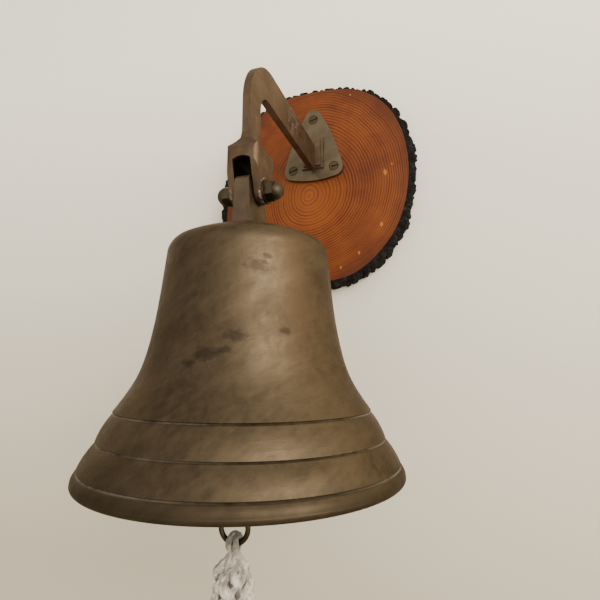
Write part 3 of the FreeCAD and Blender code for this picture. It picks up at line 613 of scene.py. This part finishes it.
def strand(points, radii, sides=14, yarns=3, lay=0.011, groove=0.13, closed=False):
    """A laid strand along a line: its section has a lobe for each yarn and twists as it goes."""
    verts, faces = [], []
    walked = 0.0
    frames = frames_along(points, closed)
    for index, (middle, (side, other)) in enumerate(zip(points, frames)):
        if index:
            walked += (middle - points[index - 1]).length
        radius = radii[index] if hasattr(radii, "__len__") else radii
        for step in range(sides):
            angle = step / sides * math.tau
            lobe = 1 - groove + groove * math.cos(yarns * (angle - walked / lay * math.tau / yarns))
            offset = side * math.cos(angle) + other * math.sin(angle)
            fuzz = 1 + 0.05 * noise.noise(middle * 900 + offset * 3)
            verts.append(middle + offset * radius * lobe * fuzz)
    rings = len(points)
    for index in range(rings if closed else rings - 1):
        for step in range(sides):
            a, b = index * sides, ((index + 1) % rings) * sides
            after = (step + 1) % sides
            faces.append((a + step, a + after, b + after, b + step))
    if not closed:
        faces.append(tuple(range(sides))[::-1])
        faces.append(tuple(range((rings - 1) * sides, rings * sides)))
    return verts, faces


def merged(parts):
    verts, faces = [], []
    for more_verts, more_faces in parts:
        base = len(verts)
        verts.extend(more_verts)
        faces.extend(tuple(i + base for i in face) for face in more_faces)
    return verts, faces


# --- bark -----------------------------------------------------------------------------------

def rim_points(steps):
    """Outline of the wood and of the bark at even angles about the slice's middle."""
    def reach(node):
        mesh = frame["nodes"][node].data
        found = [0.0] * steps
        for edge in mesh.edges:
            ends = [mesh.vertices[i].co for i in edge.vertices]
            spans = [(math.atan2(e.z, e.x), math.hypot(e.x, e.z)) for e in ends]
            (a0, r0), (a1, r1) = sorted(spans)
            if a1 - a0 > math.pi:
                continue
            first = math.ceil((a0 + math.pi) / math.tau * steps)
            last = math.floor((a1 + math.pi) / math.tau * steps)
            for step in range(first, last + 1):
                angle = step / steps * math.tau - math.pi
                share = (angle - a0) / (a1 - a0) if a1 > a0 else 0.0
                radius = r0 + (r1 - r0) * share
                found[step % steps] = max(found[step % steps], radius)
        for step in range(steps):
            if found[step] == 0.0:
                found[step] = found[step - 1]
        return found
    return reach("wood_slice"), reach("bark_rim")


def make_bark(material):
    """Fissured bark: plates that stand out between cracks, with a ragged front edge."""
    steps, across = 1100, 26
    wood, bark = rim_points(steps)
    depth = SLICE_HIGH.y - SLICE_LOW.y
    verts = []
    for step in range(steps):
        angle = step / steps * math.tau - math.pi
        outwards = Vector((math.cos(angle), 0, math.sin(angle)))
        thick = bark[step] - wood[step]
        for row in range(across):
            share = row / (across - 1)
            if share < 0.22:
                climb = share / 0.22
                radius = wood[step] - 0.0006 + (thick + 0.0006) * climb ** 0.8
                level = SLICE_LOW.y + 0.0002
                rough = climb
            else:
                level = SLICE_LOW.y + depth * (share - 0.22) / 0.78
                radius = bark[step]
                rough = 1.0
            spot = Vector((math.cos(angle) * 0.1, level, math.sin(angle) * 0.1))
            crack = noise.ridged_multi_fractal(
                Vector((spot.x * 120, level * 62, spot.z * 120)), 0.9, 2.1, 5, 0.9, 2.0)
            scale = 150 - 55 * min(1.0, thick / 0.006)
            plates = noise.voronoi(Vector((spot.x * scale, level * 70, spot.z * scale)))[0]
            gap = min(1.0, (plates[1] - plates[0]) * 3.2)
            grain = noise.fractal(spot * 900, 0.8, 2.2, 5)
            broad = noise.noise(Vector((spot.x * 55, level * 30, spot.z * 55 + 7)))
            lift = (gap - 0.75) * 1.1 - (crack - 1.0) * 0.35 + grain * 0.30 + broad * 0.7
            swell = 0.35 + 0.65 * min(1.0, thick / 0.006)
            radius += lift * 0.0026 * swell * rough
            edge = noise.fractal(Vector((angle * 60, 3.0, share)), 0.8, 2.0, 4)
            sink = (0.0012 * (1 - gap) + 0.0007 * edge) * (1.0 if share < 0.35 else 0.0) * rough
            verts.append(outwards * max(radius, wood[step] - 0.0008)
                         + Vector((0, level + max(sink, -0.0002), 0)))
        verts.append(outwards * (wood[step] - 0.001) + Vector((0, SLICE_HIGH.y, 0)))
    rows = across + 1
    faces = []
    for step in range(steps):
        a, b = step * rows, ((step + 1) % steps) * rows
        for row in range(rows):
            after = (row + 1) % rows
            faces.append((a + row, a + after, b + after, b + row))
    return new_piece("bark_crust", verts, faces, material, "bracket", "bark", "bark_rim")


# --- bell rope ------------------------------------------------------------------------------

def route_line():
    """The plait's centreline, read from the NURBS spline of its route."""
    data = bpy.data.curves.new("rope_route", "CURVE")
    data.dimensions = "3D"
    data.resolution_u = 40
    spline = data.splines.new("NURBS")
    spline.points.add(len(ROPE_ROUTE) - 1)
    for point, (across, down) in zip(spline.points, ROPE_ROUTE):
        point.co = (ROPE_HINGE.x + across * MM, ROPE_HINGE.y, ROPE_HINGE.z + down * MM, 1)
    spline.order_u = 3
    spline.use_endpoint_u = True
    carrier = bpy.data.objects.new("rope_route", data)
    mesh = bpy.data.meshes.new_from_object(carrier)
    line = [v.co.copy() for v in mesh.vertices]
    bpy.data.meshes.remove(mesh)
    bpy.data.objects.remove(carrier)
    return line


def resampled(line, step):
    """The same line with even steps."""
    out, spare = [line[0].copy()], 0.0
    for a, b in zip(line, line[1:]):
        length = (b - a).length
        at = step - spare
        while at <= length:
            out.append(a.lerp(b, at / length))
            at += step
        spare = length - (at - step)
    return out


def make_sennit(material):
    """Round sennit of twelve strands: six turn each way and pass over and under."""
    spacing = 0.0006
    line = resampled(route_line(), spacing)
    frames = frames_along(line)
    pitch, parts = 0.092, []
    total = len(line)
    for way in (1, -1):
        for number in range(6):
            points, radii = [], []
            for index, (middle, (side, other)) in enumerate(zip(line, frames)):
                along = index * spacing
                angle = way * along / pitch * math.tau + number * math.pi / 3
                weave = math.sin(along / pitch * math.tau * 6 + number * math.pi)
                weave = weave if way > 0 else -weave
                start = min(1.0, along / 0.007)
                finish = min(1.0, (total - 1 - index) * spacing / 0.005)
                swell = 0.45 + 0.55 * math.sin(min(start, finish) * math.pi / 2)
                bulge = 1 + 0.05 * noise.noise(Vector((along * 60, 0, 1.7)))
                reach = (0.0088 + 0.0017 * weave) * swell * bulge
                points.append(middle + (side * math.cos(angle) + other * math.sin(angle)) * reach)
                radii.append((0.0033 + 0.0003 * weave) * swell)
            parts.append(strand(points, radii, sides=24, yarns=5, lay=0.014, groove=0.13))
    core_radii = [0.0062 * (0.45 + 0.55 * min(1.0, i * spacing / 0.007)) for i in range(total)]
    parts.append(strand(line, core_radii, sides=12, groove=0.0))
    verts, faces = merged(parts)
    made = new_piece("bell_rope_plait", verts, faces, material, "bell_rope", "rope", "rope_sennit")
    return made, line


def make_rope_eye(material):
    """The rope's eye: two turns round the ring, seized and spreading into the plait."""
    parts = []
    centre = ROPE_HINGE
    turns = [(-0.95, 0.0053), (3.35, 0.0048)]      # across in millimetres, radius in metres
    for across, wide in turns:
        points = []
        for step in range(97):
            angle = step / 96 * math.tau * 0.80 - math.tau * 0.15
            reach = wide + 0.0002 * math.sin(angle * 3 + across)
            inward = 0.75 - 0.25 * math.cos(angle)
            points.append(centre + Vector((across * MM * inward + 0.0005 * math.sin(angle * 2),
                                           math.cos(angle) * reach, math.sin(angle) * reach)))
        parts.append(strand(points, 0.0022, sides=18, yarns=3, lay=0.008, groove=0.15))
    for turn in range(7):
        angle = turn / 7 * math.tau + 0.3
        points, radii = [], []
        for step in range(40):
            share = step / 39
            twist = angle + share * 1.1
            reach = 0.0016 + 0.0058 * share ** 1.5
            points.append(centre + Vector((reach * math.cos(twist) + 0.0006 - 0.0012 * share,
                                           reach * math.sin(twist) * (0.75 + 0.25 * share),
                                           -0.0042 - 0.0100 * share)))
            radii.append(0.0017 + 0.0020 * share)
        parts.append(strand(points, radii, sides=18, yarns=4, lay=0.010, groove=0.15))
    verts, faces = merged(parts)
    return new_piece("bell_rope_eye", verts, faces, material, "bell_rope", "rope", "rope_eye")


def make_end_knot(material):
    """A Turk's head over a round core closes the rope."""
    low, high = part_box("rope_end_knot")
    centre, reach = (low + high) / 2, (high - low) / 2
    points, count = [], 420
    for step in range(count):
        turn = step / count * math.tau * 3
        lat = 0.78 * math.cos(turn * 4 / 3)
        lift = 1 + 0.10 * math.sin(turn * 8 / 3)
        around = Vector((math.cos(turn) * math.cos(lat), math.sin(turn) * math.cos(lat),
                         math.sin(lat)))
        points.append(centre + Vector((around.x * (reach.x - 0.0042) * lift,
                                       around.y * (reach.y - 0.0042) * lift,
                                       around.z * (reach.z - 0.0030) * lift * 1.1)))
    parts = [strand(points, 0.0038, sides=16, yarns=3, lay=0.0075, groove=0.12, closed=True)]
    core, radii = [], []
    for step in range(25):
        up = -1 + 2 * step / 24
        core.append(centre + Vector((0, 0, up * reach.z * 0.86)))
        radii.append(max(0.0008, math.sqrt(max(0.0, 1 - up * up)) * reach.x * 0.80))
    parts.append(strand(core, radii, sides=32, yarns=9, lay=0.05, groove=0.05))
    verts, faces = merged(parts)
    return new_piece("bell_rope_knot", verts, faces, material, "bell_rope", "rope",
                     "rope_end_knot")


# --- carried-over CAD nodes -----------------------------------------------------------------

def repaint(name, material):
    node = frame["nodes"][name]
    node.data.materials.clear()
    node.data.materials.append(material)


def soften(node, width, segments=3, angle=28):
    """Rounds a CAD node's edges, which the mesh keeps underneath."""
    bevel = node.modifiers.new("worn_and_highlit_edges", "BEVEL")
    bevel.width = width
    bevel.segments = segments
    bevel.limit_method = "ANGLE"
    bevel.angle_limit = math.radians(angle)
    bevel.harden_normals = False
    return bevel


def paint_nodes():
    bell = aged_brass("bell_brass", (0.076, 0.054, 0.031), (0.050, 0.036, 0.021), 0.38,
                      extra=(bell_smudges_and_painted_light, bell_residue))
    arm = aged_brass("arm_brass", (0.112, 0.074, 0.045), (0.078, 0.049, 0.030), 0.42, 0.8, 0.3,
                     extra=(painted_slot_shade, arm_residue))
    lug = aged_brass("lug_brass", (0.105, 0.076, 0.048), (0.075, 0.053, 0.034), 0.42, 0.8, 0.3)
    plate = aged_brass("plate_brass", (0.112, 0.086, 0.052), (0.088, 0.066, 0.039), 0.38, 0.7,
                       0.25, extra=(painted_screw_gap_shade,))
    screw = aged_brass("screw_brass", (0.070, 0.054, 0.032), (0.044, 0.033, 0.020), 0.36, 0.6,
                       0.6)
    # brighter brass for the rounded edges: edge wear together with a painted edge highlight
    worn_and_highlit = aged_brass("worn_and_highlit_brass", (0.22, 0.165, 0.10), (0.17, 0.125, 0.075), 0.34, 0.6, 0.2)
    clapper = aged_brass("clapper_brass", (0.08, 0.06, 0.033), (0.055, 0.041, 0.022), 0.45)
    ring = aged_brass("ring_brass", (0.042, 0.031, 0.020), (0.026, 0.020, 0.013), 0.38, 0.4,
                      0.4)
    steel = plain_steel()
    for material, names in (
        (bell, ["bell_shell"]),
        (arm, ["bracket_arm"]),
        (lug, ["crown_lug"]),
        (plate, ["wall_plate"]),
        (screw, ["plate_screw_top", "plate_screw_left", "plate_screw_right", "pivot_bolt",
                 "acorn_nut", "pivot_washer_left", "pivot_washer_right", "crown_washer",
                 "crown_nut", "clapper_staple"]),
        (clapper, ["clapper_rod", "clapper_ball"]),
        (ring, ["clapper_ring"]),
        (steel, ["hanger_plate_left", "hanger_plate_right", "hanger_screws"]),
        (ring_wood(), ["wood_slice"]),
    ):
        for name in names:
            repaint(name, material)
    # the rounded edges take the brighter brass: edge wear together with a painted edge highlight
    for name, width in (("wall_plate", 0.0007), ("crown_lug", 0.0008), ("bracket_arm", 0.0005)):
        node = frame["nodes"][name]
        node.data.materials.append(worn_and_highlit)
        soften(node, width).material = 1


make_camera()
make_stage()
paint_nodes()
make_bark(bark_paint())
cotton = rope_paint()
plait, plait_line = make_sennit(cotton)
eye = make_rope_eye(cotton)
knot = make_end_knot(cotton)
